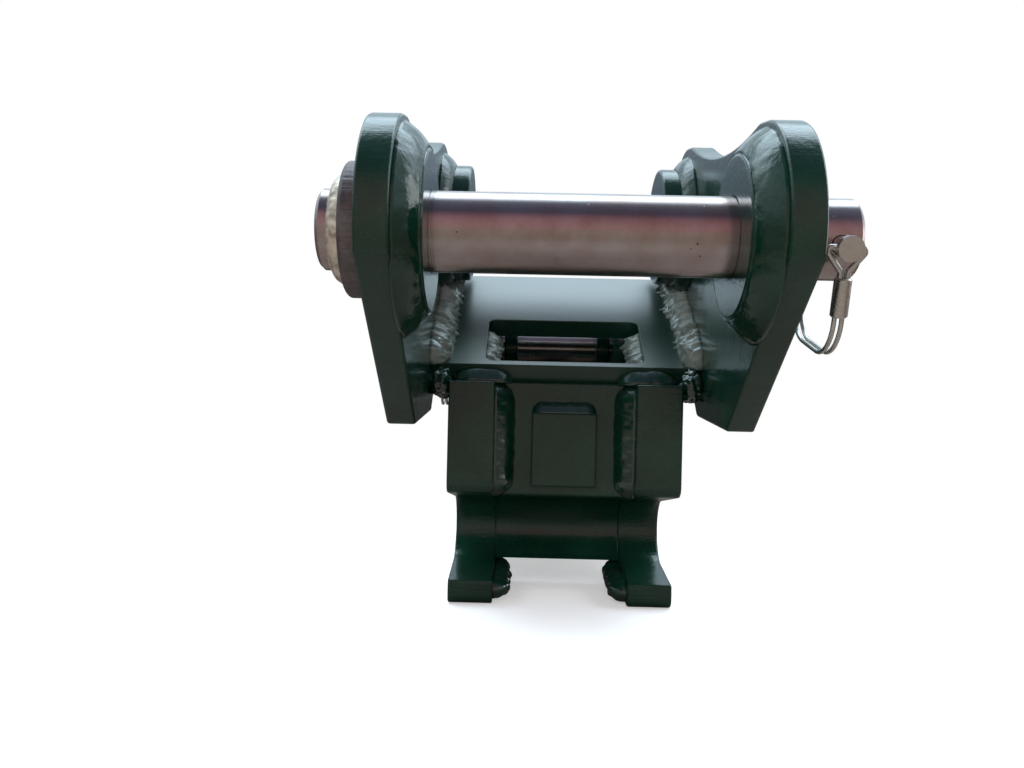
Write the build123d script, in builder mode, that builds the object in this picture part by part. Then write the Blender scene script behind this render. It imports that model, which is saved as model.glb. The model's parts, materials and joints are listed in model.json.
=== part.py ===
from build123d import *
from math import asin, atan2, cos, degrees, hypot, radians, sin, sqrt, tan
import os

# Quick coupler for a compact excavator, in millimetres.
# X runs across the coupler, +Y from the dipper end towards the latch, +Z up.
# The origin is the middle of the front upper pin's axis.
# Profiles are drawn in the side view, whose first coordinate is Y and second is Z.

# Heights in this block are measured up from the ground that the coupler stands on.
pin_height = 248.0  # front upper pin
pin_spacing_y = 222.0
rear_pin_rise = 46.0  # above the front upper pin
jaw_y = 203.5
jaw_height = 48.0
seat_spacing_y = 221.5  # from the fixed jaw to the latched seat
seat_height = 62.0
pivot_spacing_y = 90.0  # latch pivot, ahead of the latched seat
pivot_height = 198.0

# Upper pins and their retaining parts.
pin_diameter = 45.0
running_gap = 0.05  # radial, pin in bore
pin_chamfer = 2.0
flange_radius = 37.7
flange_thickness = 12.0
flange_gap = 1.5  # end play beside the ear
collar_length = 9.0
collar_leg = 6.0
stub_beyond_collar = 6.0
washer_thickness = 4.0
washer_radius = 38.0
side_gap = 0.3  # between faces that turn past each other
hole_beyond_washer = 16.5
stub_beyond_hole = 13.0
flange_edge = 1.5
washer_edge = 0.6
lock_tilt = 16.4  # degrees, the lock pin's tail above level

# Lock pin with its double wire bow.
shank_radius = 5.0
shank_gap = 0.3
shank_beyond_pin = 12.0
head_radius = 6.75
head_length = 4.0
wire_radius = 1.3
wire_offset = 2.0  # each wire from the middle plane
bow_clearance = 38.5  # bow bottom beyond the pin's surface
bow_bend_radius = 24.0  # behind the pin
bow_bend_share = 0.9  # of the drop below the ferrule, in front of the pin
tail_gap = 3.5  # bow beyond the shank's tail
tail_hook_length = 9.0
tail_bend_radius = 3.3
yoke_from_pin = 9.0
yoke_half_width = 9.5
yoke_wire = 1.6
ferrule_radius = 4.6
ferrule_length = 21.0
ferrule_edge = 0.8
ferrule_depth = 16.0  # below the shank's axis

# Ear plates.
ear_thickness = 18.0
ear_inner = 97.5
eye_radius = 63.0
saddle_depth = 13.0
saddle_radius = 390.0
saddle_blend_radius = 30.0
on_arc = 0.01  # distance that still counts as on the saddle's arc
chin_distance = 52.5  # straight lower front edge from the pin's axis
chin_slope = 36.5  # degrees
ear_foot_front = (60.0, 137.0)
ear_foot_rear = (152.0, 143.0)
ear_foot_step = 13.0

# Bosses on the inner faces of the ears.
boss_radius = 46.0
front_boss_length = 14.5
rear_boss_length = 23.0
front_boss_weld = 9.5
rear_boss_weld = 5.0
boss_edge = 1.5

# Sloping top plate with its window.
plate_front_y = 140.0
plate_boss_gap = 5.5  # between the rear bosses and the plate
plate_slope = 33.5
plate_length = 142.0
plate_thickness = 15.0
window_start = 5.5
window_length = 60.0
window_half_width = 58.0
window_corner_radius = 6.0

# Hook plates.
hook_inner = 50.0
hook_thickness = 33.0
hook_front_y = 126.0
jaw_radius = 25.0
roof_height = 86.4
roof_corner_radius = 8.0
lip_y = 155.0
lip_height = 18.0
lip_corner_radius = 6.0
belly_rear_y = 262.0
arch_height = 30.0
arch_run = 24.0
leg_thickness = 15.0
rear_leg_thickness = 18.0
mouth_flare_width = 4.0
seat_radius = 25.0
shoulder_y = 358.0
shoulder_height = 248.0
rear_edge_height = 110.0
corner_radius = 24.0

# Cross members between the hook plates.
cross_front_y = 144.0
cross_thickness = 18.0
pad_width = 47.0
pad_top_gap = 21.5  # below the top plate
pad_roof_gap = 7.0  # above the jaw's roof
pad_thickness = 8.0
pad_edge = 1.2
liner_thickness = 15.0
liner_foot_height = 24.0
rear_liner_from = -20.0  # degrees about the latched seat
rear_liner_to = 120.0
back_plate_thickness = 12.0
back_plate_inset = 3.0
back_plate_margin = 14.0

# Latch.
latch_pin_diameter = 30.0
latch_side_gap = 2.0
cheek_thickness = 12.0
hub_radius = 30.0
arm_radius = 24.0
arm_foot_spacing_y = 33.0  # ahead of the seat's axis
arm_foot_depth = 4.0
latch_jaw_gap = 0.3
heel_spacing_y = 49.0  # hook's heel, ahead of the seat's axis
heel_height = 11.0
heel_depth = 32.0
heel_slant_width = 8.0
heel_cut_length = 14.0
sole_depth = 43.0
hook_toe_length = 12.0
toe_cut_length = 8.0
latch_flange_radius = 24.0
latch_flange_thickness = 8.0
latch_collar_leg = 5.0
latch_washer_radius = 25.0
latch_hole_beyond_washer = 17.0
latch_stub = 12.0

# Spring and release socket.
spring_height = 120.0
spring_mean_radius = 14.5
spring_wire_radius = 3.5
spring_turns = 9
spring_end_gap = 0.3
spring_seat_radius = 22.0
spring_seat_thickness = 8.0
spigot_radius = 8.5
spigot_length = 12.0
seat_block_y = 338.0
seat_block_depth = 20.0
seat_block_height = 44.0
socket_outer = 17.0
socket_inner = 13.5
socket_length = 62.0

# Welds.
plate_weld_leg = 11.0
window_weld_leg = 7.0
cross_weld_width = 14.0
cross_weld_depth = 15.0
cross_weld_gap = 3.0  # above the jaw's roof corner
ledge_weld_gap = 4.0  # behind the hook plates' front faces
lip_weld_width = 12.0
lip_weld_gap = 3.0  # from the lip's faces and the ground
lip_weld_round = 4.0
neck_depth = 12.0

pin_radius = pin_diameter / 2
latch_pin_radius = latch_pin_diameter / 2
ear_outer = ear_inner + ear_thickness
hook_outer = hook_inner + hook_thickness
latch_outer = hook_inner - latch_side_gap
latch_inner = latch_outer - cheek_thickness


def side_point(y, height):
    """Side-view point from a distance back and a height above the ground."""
    return (y, height - pin_height)


front_pin = (0.0, 0.0)
rear_pin = (pin_spacing_y, rear_pin_rise)
jaw = side_point(jaw_y, jaw_height)
seat = side_point(jaw_y + seat_spacing_y, seat_height)
pivot = side_point(seat[0] - pivot_spacing_y, pivot_height)
roof_corner = side_point(hook_front_y, roof_height)
lip_corner = side_point(lip_y, lip_height)
along = (cos(radians(plate_slope)), sin(radians(plate_slope)))
plate_drop = (boss_radius + plate_boss_gap) / along[0]
plate_front = (
    plate_front_y,
    rear_pin[1] - plate_drop - (rear_pin[0] - plate_front_y) * along[1] / along[0],
)
ground = -pin_height
slope = Plane(
    origin=(0, *plate_front), x_dir=(1, 0, 0), z_dir=(0, -along[1], along[0])
)
under_front = (
    plate_front[0] + plate_thickness * along[1],
    plate_front[1] - plate_thickness * along[0],
)
under_rear = (
    under_front[0] + plate_length * along[0],
    under_front[1] + plate_length * along[1],
)


def underside(y):
    """Height of the top plate's underside at a distance back."""
    return under_front[1] + (y - under_front[0]) * tan(radians(plate_slope))


def roof_dip():
    """Angle below level of the fixed jaw's straight roof, tangent to its round back."""
    run = jaw[0] - roof_corner[0]
    fall = roof_corner[1] - jaw[1]
    return atan2(fall, run) - asin(jaw_radius / hypot(run, fall))


def jaw_roof(y):
    """Height of the fixed jaw's straight roof at a distance back."""
    return roof_corner[1] - (y - roof_corner[0]) * tan(roof_dip())


def save(piece, name):
    """Label a finished piece and write it to its own file."""
    piece.part.label = name
    export_step(piece.part, f"parts/{name}.step")


def disc(centre, radius):
    """Circle about a point of the side view."""
    with Locations(centre):
        Circle(radius)


def bore(centre, radius):
    """Round hole about a point of the side view."""
    with Locations(centre):
        Circle(radius, mode=Mode.SUBTRACT)


def mouth_cut(centre, radius, corners):
    """Cut a round seat that opens between two corners."""
    with BuildSketch(mode=Mode.PRIVATE) as cut:
        disc(centre, radius)
        with BuildLine():
            Line(*corners)
        make_hull()
    add(cut.sketch, mode=Mode.SUBTRACT)


def rounds(outline, radius, corner):
    """Round the outline's corner that lies nearest to a side-view point."""
    near = outline.vertices().sort_by(
        lambda v: hypot(v.X - corner[0], v.Y - corner[1])
    )[0]
    fillet(near, radius)


def ear_plate(side):
    """Ear with two eyes, a hollow top edge and a straight lower front edge."""
    foot_front = side_point(*ear_foot_front)
    foot_rear = side_point(*ear_foot_rear)
    rise = atan2(rear_pin[1], rear_pin[0])
    middle = (rear_pin[0] / 2, rear_pin[1] / 2)
    lift = eye_radius - saddle_depth + saddle_radius
    hollow = (middle[0] - lift * sin(rise), middle[1] + lift * cos(rise))
    chin = radians(chin_slope)
    chin_x = -sin(chin) * chin_distance
    chin_z = -cos(chin) * chin_distance
    reach = 2 * eye_radius
    with BuildPart() as ear:
        with BuildSketch(Plane.YZ.offset(side * ear_inner)) as outline:
            disc(front_pin, eye_radius)
            disc(rear_pin, eye_radius)
            with BuildLine():
                Polyline(
                    foot_front, foot_rear, (foot_rear[0], foot_rear[1] + ear_foot_step)
                )
            make_hull()
            bore(hollow, saddle_radius)
            tips = outline.vertices().filter_by(
                lambda v: abs(hypot(v.X - hollow[0], v.Y - hollow[1]) - saddle_radius) < on_arc
            )
            fillet(tips, saddle_blend_radius)
            with Locations((chin_x, chin_z)):
                Rectangle(
                    4 * reach,
                    reach,
                    rotation=-chin_slope,
                    align=(Align.CENTER, Align.MAX),
                    mode=Mode.SUBTRACT,
                )
            bore(front_pin, pin_radius + running_gap)
            bore(rear_pin, pin_radius + running_gap)
        extrude(amount=side * ear_thickness)
    return ear


def boss(side, centre, length):
    """Round boss on the inner face of an ear."""
    with BuildPart() as ring:
        with BuildSketch(Plane.YZ.offset(side * ear_inner)):
            disc(centre, boss_radius)
            bore(centre, pin_radius + running_gap)
        extrude(amount=-side * length)
        rim = ring.edges().filter_by(GeomType.CIRCLE).group_by(Axis.X)[-1 if side < 0 else 0]
        chamfer(rim.sort_by(SortBy.RADIUS)[-1], boss_edge)
    return ring


def boss_welds():
    """Fillet weld round the foot of each boss, as four separate rings."""
    with BuildPart() as welds:
        for side in (-1, 1):
            for centre, leg in ((front_pin, front_boss_weld), (rear_pin, rear_boss_weld)):
                axis_plane = Plane(
                    origin=(side * ear_inner, *centre), x_dir=(0, 1, 0), z_dir=(0, 0, 1)
                )
                with BuildSketch(axis_plane):
                    with BuildLine():
                        Polyline(
                            (boss_radius, 0),
                            (boss_radius + leg, 0),
                            (boss_radius, side * leg),
                            close=True,
                        )
                    make_face()
                revolve(axis=Axis((0, *centre), (1, 0, 0)))
    return welds


def top_plate():
    """Sloping plate between the ears, with its window."""
    with BuildPart() as plate:
        with BuildSketch(slope):
            Rectangle(2 * ear_inner, plate_length, align=(Align.CENTER, Align.MIN))
            with Locations((0, window_start)):
                RectangleRounded(
                    2 * window_half_width,
                    window_length,
                    window_corner_radius,
                    align=(Align.CENTER, Align.MIN),
                    mode=Mode.SUBTRACT,
                )
        extrude(amount=-plate_thickness)
    return plate


def hook_plate(side):
    """Thick side plate with the fixed jaw in front and the latched seat behind."""
    leg_front = seat[0] - seat_radius - leg_thickness
    leg_rear = seat[0] + seat_radius + rear_leg_thickness + mouth_flare_width
    arch = ground + arch_height
    with BuildPart() as hook:
        with BuildSketch(Plane.YZ.offset(side * hook_inner)) as outline:
            with BuildLine():
                Polyline(
                    (hook_front_y, under_front[1]),
                    under_front,
                    under_rear,
                    side_point(shoulder_y, shoulder_height),
                    (leg_rear, ground + rear_edge_height),
                    (leg_rear, ground),
                    (leg_front, ground),
                    (leg_front - arch_run / 2, arch),
                    (belly_rear_y + arch_run, arch),
                    (belly_rear_y, ground),
                    (lip_corner[0], ground),
                    lip_corner,
                    roof_corner,
                    close=True,
                )
            make_face()
            mouth_cut(jaw, jaw_radius, (roof_corner, lip_corner))
            mouth_cut(
                seat,
                seat_radius,
                (
                    (seat[0] - seat_radius - mouth_flare_width, ground),
                    (seat[0] + seat_radius + mouth_flare_width, ground),
                ),
            )
            bore(pivot, latch_pin_radius + running_gap)
            rounds(outline, corner_radius, side_point(shoulder_y, shoulder_height))
            rounds(outline, corner_radius, (leg_rear, ground + rear_edge_height))
            rounds(outline, roof_corner_radius, roof_corner)
            rounds(outline, lip_corner_radius, (lip_corner[0], ground))
            rounds(outline, lip_corner_radius, (leg_front - arch_run / 2, arch))
            rounds(outline, corner_radius, (belly_rear_y + arch_run, arch))
            rounds(outline, lip_corner_radius, (belly_rear_y, ground))
        extrude(amount=side * hook_thickness)
    return hook


def front_cross_plate():
    """Plate between the hook plates, from the jaw's roof to the top plate."""
    rear_y = cross_front_y + cross_thickness
    with BuildPart() as cross:
        with BuildSketch(Plane.YZ.offset(-hook_inner)):
            with BuildLine():
                Polyline(
                    (cross_front_y, jaw_roof(cross_front_y)),
                    (cross_front_y, under_front[1]),
                    under_front,
                    (rear_y, underside(rear_y)),
                    (rear_y, jaw_roof(rear_y)),
                    close=True,
                )
            make_face()
        extrude(amount=2 * hook_inner)
    return cross


def front_pad_block():
    """Raised block on the face of the front cross plate."""
    face = Plane(origin=(0, cross_front_y, 0), x_dir=(1, 0, 0), z_dir=(0, -1, 0))
    low = jaw_roof(cross_front_y) + pad_roof_gap
    high = under_front[1] - pad_top_gap
    with BuildPart() as pad:
        with BuildSketch(face):
            with Locations((0, low)):
                Rectangle(pad_width, high - low, align=(Align.CENTER, Align.MIN))
        extrude(amount=pad_thickness)
        chamfer(pad.faces().sort_by(Axis.Y)[0].edges(), pad_edge)
    return pad


def jaw_liner():
    """Half-round plate that carries the jaw across between the hook plates."""
    start = cross_front_y + cross_thickness
    foot = ground + liner_foot_height
    dip = roof_dip()
    ends = []
    for radius in (jaw_radius, jaw_radius + liner_thickness):
        tangent = (jaw[0] + radius * sin(dip), jaw[1] + radius * cos(dip))
        front = (start, tangent[1] + (tangent[0] - start) * tan(dip))
        heel = (jaw[0] + radius * cos(asin((foot - jaw[1]) / radius)), foot)
        ends.append((front, tangent, (jaw[0] + radius, jaw[1]), heel))
    with BuildPart() as liner:
        with BuildSketch(Plane.YZ.offset(-hook_inner)):
            with BuildLine():
                for front, tangent, back, heel in ends:
                    Line(front, tangent)
                    ThreePointArc(tangent, back, heel)
                Line(ends[0][0], ends[1][0])
                Line(ends[0][-1], ends[1][-1])
            make_face()
        extrude(amount=2 * hook_inner)
    return liner


def seat_liner():
    """Part-round plate over the latched seat, between the hook plates."""
    sweep_angle = rear_liner_to - rear_liner_from
    with BuildPart() as liner:
        with BuildSketch(Plane.YZ.offset(-hook_inner)):
            with BuildLine():
                outer = CenterArc(
                    seat, seat_radius + liner_thickness, rear_liner_from, sweep_angle
                )
                inner = CenterArc(seat, seat_radius, rear_liner_from, sweep_angle)
                Line(outer @ 0, inner @ 0)
                Line(outer @ 1, inner @ 1)
            make_face()
        extrude(amount=2 * hook_inner)
    return liner


def back_plate():
    """Plate that closes the housing between the sloping rear edges."""
    top = side_point(shoulder_y, shoulder_height)
    leg_rear = seat[0] + seat_radius + rear_leg_thickness + mouth_flare_width
    low = (leg_rear, ground + rear_edge_height)
    run = hypot(low[0] - top[0], low[1] - top[1])
    tilt = degrees(atan2(low[1] - top[1], low[0] - top[0]))
    edge = Plane.YZ.offset(-hook_inner)
    middle = ((top[0] + low[0]) / 2, (top[1] + low[1]) / 2)
    inset = back_plate_inset + back_plate_thickness / 2
    place = (
        middle[0] + inset * sin(radians(tilt)),
        middle[1] - inset * cos(radians(tilt)),
    )
    with BuildPart() as back:
        with BuildSketch(edge):
            with Locations(place):
                Rectangle(
                    run - 2 * back_plate_margin, back_plate_thickness, rotation=tilt
                )
        extrude(amount=2 * hook_inner)
    return back


def ear_plate_welds():
    """Heavy fillet welds between the top plate and the ears."""
    clear = boss_radius + rear_boss_weld + side_gap
    with BuildPart() as welds:
        for side in (-1, 1):
            with BuildSketch(Plane(slope.origin, x_dir=slope.x_dir, z_dir=-slope.y_dir)):
                with BuildLine():
                    Polyline(
                        (side * ear_inner, 0),
                        (side * (ear_inner - plate_weld_leg), 0),
                        (side * ear_inner, plate_weld_leg),
                        close=True,
                    )
                make_face()
            extrude(amount=-plate_length)
        with BuildSketch(Plane.YZ.offset(-ear_inner)):
            disc(rear_pin, clear)
        extrude(amount=2 * ear_inner, mode=Mode.SUBTRACT)
    return welds


def neck_welds():
    """Weld lumps that tie the hook plates' outer faces to the ears."""
    top = plate_front[1]
    with BuildPart() as necks:
        for side in (-1, 1):
            with BuildSketch(Plane.YZ.offset(side * hook_outer)):
                with BuildLine():
                    Polyline(
                        (hook_front_y + neck_depth / 2, top - neck_depth),
                        plate_front,
                        under_front,
                        (under_front[0] + neck_depth, underside(under_front[0] + neck_depth)),
                        (under_front[0] + neck_depth, under_front[1] - neck_depth),
                        (hook_front_y + neck_depth / 2, under_front[1] - neck_depth),
                        close=True,
                    )
                make_face()
            extrude(amount=side * (ear_inner - hook_outer))
    return necks


def window_welds():
    """Beads on the hook plates' top edges, along the window's side walls."""
    first = window_start + window_corner_radius
    length = window_length - 2 * window_corner_radius
    start = slope.origin + slope.y_dir * first
    with BuildPart() as welds:
        for side in (-1, 1):
            with BuildSketch(Plane(start, x_dir=slope.x_dir, z_dir=-slope.y_dir)):
                with BuildLine():
                    Polyline(
                        (side * window_half_width, -plate_thickness),
                        (side * (window_half_width - window_weld_leg), -plate_thickness),
                        (side * window_half_width, window_weld_leg - plate_thickness),
                        close=True,
                    )
                make_face()
            extrude(amount=-length)
    return welds


def cross_plate_welds():
    """Heavy upright welds in the corners between the front cross plate and the hook plates."""
    low = roof_corner[1] + cross_weld_gap
    with BuildPart() as welds:
        for side in (-1, 1):
            with BuildSketch(Plane.XY.offset(low)):
                with BuildLine():
                    Polyline(
                        (side * hook_inner, cross_front_y),
                        (side * (hook_inner - cross_weld_width), cross_front_y),
                        (side * hook_inner, cross_front_y - cross_weld_depth),
                        close=True,
                    )
                make_face()
            extrude(amount=under_front[1] - low)
    return welds


def ledge_welds():
    """Welds from the hook plates' front ledges up the front face of the top plate."""
    with BuildPart() as welds:
        for side in (-1, 1):
            with BuildSketch(Plane.YZ.offset(side * (hook_inner - cross_weld_width))):
                with BuildLine():
                    Polyline(
                        (hook_front_y + ledge_weld_gap, under_front[1]),
                        under_front,
                        plate_front,
                        close=True,
                    )
                make_face()
            extrude(amount=side * (hook_thickness + cross_weld_width))
    return welds


def lip_welds():
    """Thick welds on the lips' inner faces, back to the jaw liner's foot."""
    foot = ground + liner_foot_height
    low = ground + lip_weld_gap
    front = lip_corner[0] + lip_weld_gap
    heel = jaw[0] + sqrt((jaw_radius + liner_thickness) ** 2 - (jaw[1] - foot) ** 2)
    with BuildPart() as welds:
        for side in (-1, 1):
            with BuildSketch(Plane.YZ.offset(side * hook_inner)):
                with BuildLine():
                    Polyline(
                        (front, low),
                        (front, lip_corner[1] - lip_weld_gap),
                        (jaw[0], lip_corner[1]),
                        (jaw[0] + jaw_radius / 2, foot),
                        (heel, foot),
                        (heel, low + lip_weld_width),
                        (heel - lip_weld_width, low),
                        close=True,
                    )
                make_face()
            extrude(amount=-side * lip_weld_width)
        inner = welds.faces().filter_by(Axis.X).sort_by(lambda f: abs(f.center().X))[:2]
        chamfer(inner.edges(), lip_weld_round)
    return welds


def ring(centre, inner, outer, start, thickness, edge=0.0):
    """Flat ring about an axis along X; a negative thickness grows towards -X."""
    with BuildPart() as flat:
        with BuildSketch(Plane.YZ.offset(start)):
            disc(centre, outer)
            bore(centre, inner)
        extrude(amount=thickness)
        if edge:
            chamfer(flat.edges().filter_by(GeomType.CIRCLE).sort_by(SortBy.RADIUS)[-2:], edge)
    return flat


def weld_collar(centre, inner, leg, start, length):
    """Conical weld bead round a pin; a negative length grows towards -X."""
    half = Plane(origin=(start, *centre), x_dir=(0, 1, 0), z_dir=(0, 0, 1))
    with BuildPart() as bead:
        with BuildSketch(half):
            with BuildLine():
                Polyline(
                    (inner, 0), (inner + leg, 0), (inner + leg / 3, -length), (inner, -length),
                    close=True,
                )
            make_face()
        revolve(axis=Axis((0, *centre), (1, 0, 0)))
    return bead


def lock_plane(station, centre):
    """Plane of a lock pin's bow: x along the shank towards its tail, y up."""
    tilt = radians(lock_tilt)
    return Plane(
        origin=(station, *centre), x_dir=(0, cos(tilt), sin(tilt)), z_dir=(1, 0, 0)
    )


def drilled_pin(centre, radius, start, end, station):
    """Pin with chamfered ends and the cross hole for its lock pin."""
    cross = lock_plane(station, centre)
    with BuildPart() as pin:
        with BuildSketch(Plane.YZ.offset(start)):
            disc(centre, radius)
        extrude(amount=end - start)
        chamfer(pin.edges().filter_by(GeomType.CIRCLE), pin_chamfer)
        with BuildSketch(Plane(cross.origin, x_dir=cross.z_dir, z_dir=cross.x_dir)):
            Circle(shank_radius + shank_gap)
        extrude(amount=2 * radius, both=True, mode=Mode.SUBTRACT)
    return pin


def lock_shank(plane, radius):
    """Lock pin's shank with its round head and tapered tail."""
    reach = radius + shank_beyond_pin
    with BuildPart() as shank:
        with BuildSketch(plane):
            with BuildLine():
                Polyline(
                    (-reach - head_length, 0),
                    (-reach - head_length, head_radius),
                    (-reach, head_radius),
                    (-reach, shank_radius),
                    (reach - shank_radius, shank_radius),
                    (reach, shank_radius / 2),
                    (reach, 0),
                    close=True,
                )
            make_face()
        revolve(axis=Axis(plane.origin, plane.x_dir))
    return shank


def lock_bow(plane, radius):
    """Wire bow: two strands side by side that close in a hook over the tail."""
    yoke = -(radius + yoke_from_pin)
    bottom = -(radius + bow_clearance)
    rear = radius + shank_beyond_pin + tail_gap
    over = shank_radius + wire_radius + shank_gap
    foot = -(ferrule_depth + ferrule_length)
    with BuildPart() as bow:
        for strand in (-wire_offset, wire_offset):
            with BuildLine(plane.offset(strand)) as path:
                FilletPolyline(
                    (yoke, foot),
                    (yoke, bottom),
                    (rear, bottom),
                    (rear, over),
                    (rear - tail_hook_length, over),
                    radius=[bow_bend_share * (foot - bottom), bow_bend_radius, tail_bend_radius],
                )
            start = path.line @ 0
            with BuildSketch(Plane(origin=start, x_dir=plane.z_dir, z_dir=-plane.y_dir)):
                Circle(wire_radius)
            sweep(path=path.line)
        turn = plane.origin + plane.x_dir * (rear - tail_hook_length) + plane.y_dir * over
        with BuildSketch(Plane(origin=turn, x_dir=plane.z_dir, z_dir=plane.x_dir)):
            with Locations((wire_offset, 0)):
                Circle(wire_radius)
        revolve(axis=Axis(turn, plane.y_dir), revolution_arc=180)
    return bow


def lock_yoke(plane, radius):
    """Triangular wire yoke that hangs the ferrule from the shank's head end."""
    yoke = -(radius + yoke_from_pin)
    across = Plane(
        origin=plane.origin + plane.x_dir * yoke, x_dir=plane.z_dir, z_dir=plane.x_dir
    )
    up = 1 if across.y_dir.dot(plane.y_dir) > 0 else -1
    with BuildPart() as arms:
        for side in (-1, 1):
            with BuildLine(across) as path:
                FilletPolyline(
                    (side * wire_offset, -up * ferrule_depth),
                    (side * wire_offset, -up * (ferrule_depth - 2 * yoke_wire)),
                    (side * yoke_half_width, -up * yoke_wire * 2),
                    (side * yoke_half_width, 0),
                    (side * shank_radius, 0),
                    radius=[yoke_wire, yoke_wire, yoke_wire],
                )
            start = path.line @ 0
            with BuildSketch(Plane(origin=start, z_dir=plane.y_dir)):
                Circle(yoke_wire)
            sweep(path=path.line)
    return arms


def lock_ferrule(plane, radius):
    """Crimped sleeve that joins the bow's strands to the yoke."""
    yoke = -(radius + yoke_from_pin)
    start = plane.origin + plane.x_dir * yoke - plane.y_dir * ferrule_depth
    with BuildPart() as sleeve:
        with BuildSketch(Plane(origin=start, z_dir=-plane.y_dir)):
            Circle(ferrule_radius)
        extrude(amount=ferrule_length)
        chamfer(sleeve.edges().filter_by(GeomType.CIRCLE), ferrule_edge)
    return sleeve


def lock_pin(name, station, centre, radius):
    """Write one lock pin's four pieces."""
    plane = lock_plane(station, centre)
    save(lock_shank(plane, radius), f"{name}_lock_pin_shank")
    save(lock_bow(plane, radius), f"{name}_lock_pin_bow")
    save(lock_yoke(plane, radius), f"{name}_lock_pin_yoke")
    save(lock_ferrule(plane, radius), f"{name}_lock_pin_ferrule")


def upper_pin(name, centre):
    """Write one upper pin with its welded flange, loose washer and lock pin."""
    flange_start = -(ear_outer + flange_gap)
    collar_start = flange_start - flange_thickness
    left_end = collar_start - collar_length - stub_beyond_collar
    washer_start = ear_outer + side_gap
    station = washer_start + washer_thickness + hole_beyond_washer
    right_end = station + stub_beyond_hole
    save(drilled_pin(centre, pin_radius, left_end, right_end, station), f"{name}_pin")
    save(
        ring(centre, pin_radius, flange_radius, flange_start, -flange_thickness, flange_edge),
        f"{name}_pin_flange",
    )
    save(
        weld_collar(centre, pin_radius, collar_leg, collar_start, -collar_length),
        f"{name}_pin_flange_weld",
    )
    save(
        ring(centre, pin_radius + side_gap, washer_radius, washer_start, washer_thickness, washer_edge),
        f"{name}_pin_washer",
    )
    lock_pin(name, station, centre, pin_radius)


def latch_pin():
    """Write the latch's pivot pin with its flange, washer and lock pin."""
    flange_start = hook_outer + side_gap
    collar_start = flange_start + latch_flange_thickness
    right_end = collar_start + latch_collar_leg + pin_chamfer
    washer_start = -(hook_outer + side_gap)
    station = washer_start - washer_thickness - latch_hole_beyond_washer
    save(
        drilled_pin(pivot, latch_pin_radius, station - latch_stub, right_end, station),
        "latch_pivot_pin",
    )
    save(
        ring(
            pivot, latch_pin_radius, latch_flange_radius, flange_start,
            latch_flange_thickness, flange_edge,
        ),
        "latch_pivot_flange",
    )
    save(
        weld_collar(
            pivot, latch_pin_radius, latch_collar_leg, collar_start, latch_collar_leg
        ),
        "latch_pivot_flange_weld",
    )
    save(
        ring(
            pivot, latch_pin_radius + side_gap, latch_washer_radius, washer_start,
            -washer_thickness, washer_edge,
        ),
        "latch_pivot_washer",
    )
    lock_pin("latch_pivot", station, pivot, latch_pin_radius)


def hook_sketch():
    """Profile of the latch's hook, below and ahead of the seat."""
    with BuildSketch(mode=Mode.PRIVATE) as hook:
        with BuildLine():
            Polyline(
                (seat[0] - heel_spacing_y - heel_slant_width, seat[1] + heel_height),
                (seat[0] - heel_spacing_y, seat[1] - heel_depth),
                (seat[0] - heel_spacing_y + heel_cut_length, seat[1] - sole_depth),
                (seat[0] + hook_toe_length - toe_cut_length, seat[1] - sole_depth),
                (seat[0] + hook_toe_length, seat[1] - sole_depth + toe_cut_length),
                (seat[0] + hook_toe_length, seat[1]),
                close=True,
            )
        make_face()
    add(hook.sketch)


def latch_cheek(side):
    """Latch side plate: hub, arm and hook."""
    with BuildPart() as cheek:
        with BuildSketch(Plane.YZ.offset(side * latch_inner)):
            with BuildSketch(mode=Mode.PRIVATE) as arm:
                disc(pivot, hub_radius)
                disc((seat[0] - arm_foot_spacing_y, seat[1] - arm_foot_depth), arm_radius)
                make_hull()
            add(arm.sketch)
            hook_sketch()
            bore(seat, seat_radius + latch_jaw_gap)
            bore(pivot, latch_pin_radius + running_gap)
        extrude(amount=side * cheek_thickness)
    return cheek


def latch_hook_bar():
    """Solid hook bar between the latch's side plates."""
    with BuildPart() as bar:
        with BuildSketch(Plane.YZ.offset(-latch_inner)):
            hook_sketch()
            bore(seat, seat_radius + latch_jaw_gap)
        extrude(amount=2 * latch_inner)
    return bar


def latch_spring_seat():
    """Cross block of the latch with the spigot that centres the spring."""
    middle = spring_height - pin_height
    with BuildPart() as block:
        with BuildSketch(Plane.YZ.offset(-latch_inner)):
            with Locations((seat_block_y, middle)):
                Rectangle(
                    seat_block_depth, seat_block_height, align=(Align.MIN, Align.CENTER)
                )
        extrude(amount=2 * latch_inner)
        with BuildSketch(
            Plane(origin=(0, seat_block_y, middle), x_dir=(1, 0, 0), z_dir=(0, -1, 0))
        ):
            Circle(spigot_radius)
        extrude(amount=spigot_length)
    return block


def spring_anchor():
    """Disc and spigot on the back of the front cross plate."""
    rear_y = cross_front_y + cross_thickness
    base = Plane(
        origin=(0, rear_y, spring_height - pin_height), x_dir=(1, 0, 0), z_dir=(0, 1, 0)
    )
    with BuildPart() as anchor:
        with BuildSketch(base):
            Circle(spring_seat_radius)
        extrude(amount=spring_seat_thickness)
        with BuildSketch(base.offset(spring_seat_thickness)):
            Circle(spigot_radius)
        extrude(amount=spigot_length)
    return anchor


def latch_spring():
    """Round-wire compression spring between the anchor and the latch."""
    start = cross_front_y + cross_thickness + spring_seat_thickness
    first = start + spring_wire_radius + spring_end_gap
    last = seat_block_y - spring_wire_radius - spring_end_gap
    height = last - first
    middle = spring_height - pin_height
    with BuildPart() as spring:
        with BuildLine():
            coil = Helix(
                pitch=height / spring_turns,
                height=height,
                radius=spring_mean_radius,
                center=(0, first, middle),
                direction=(0, 1, 0),
            )
        with BuildSketch(Plane(origin=coil @ 0, z_dir=coil % 0)):
            Circle(spring_wire_radius)
        sweep(path=coil, is_frenet=True)
    return spring


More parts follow.
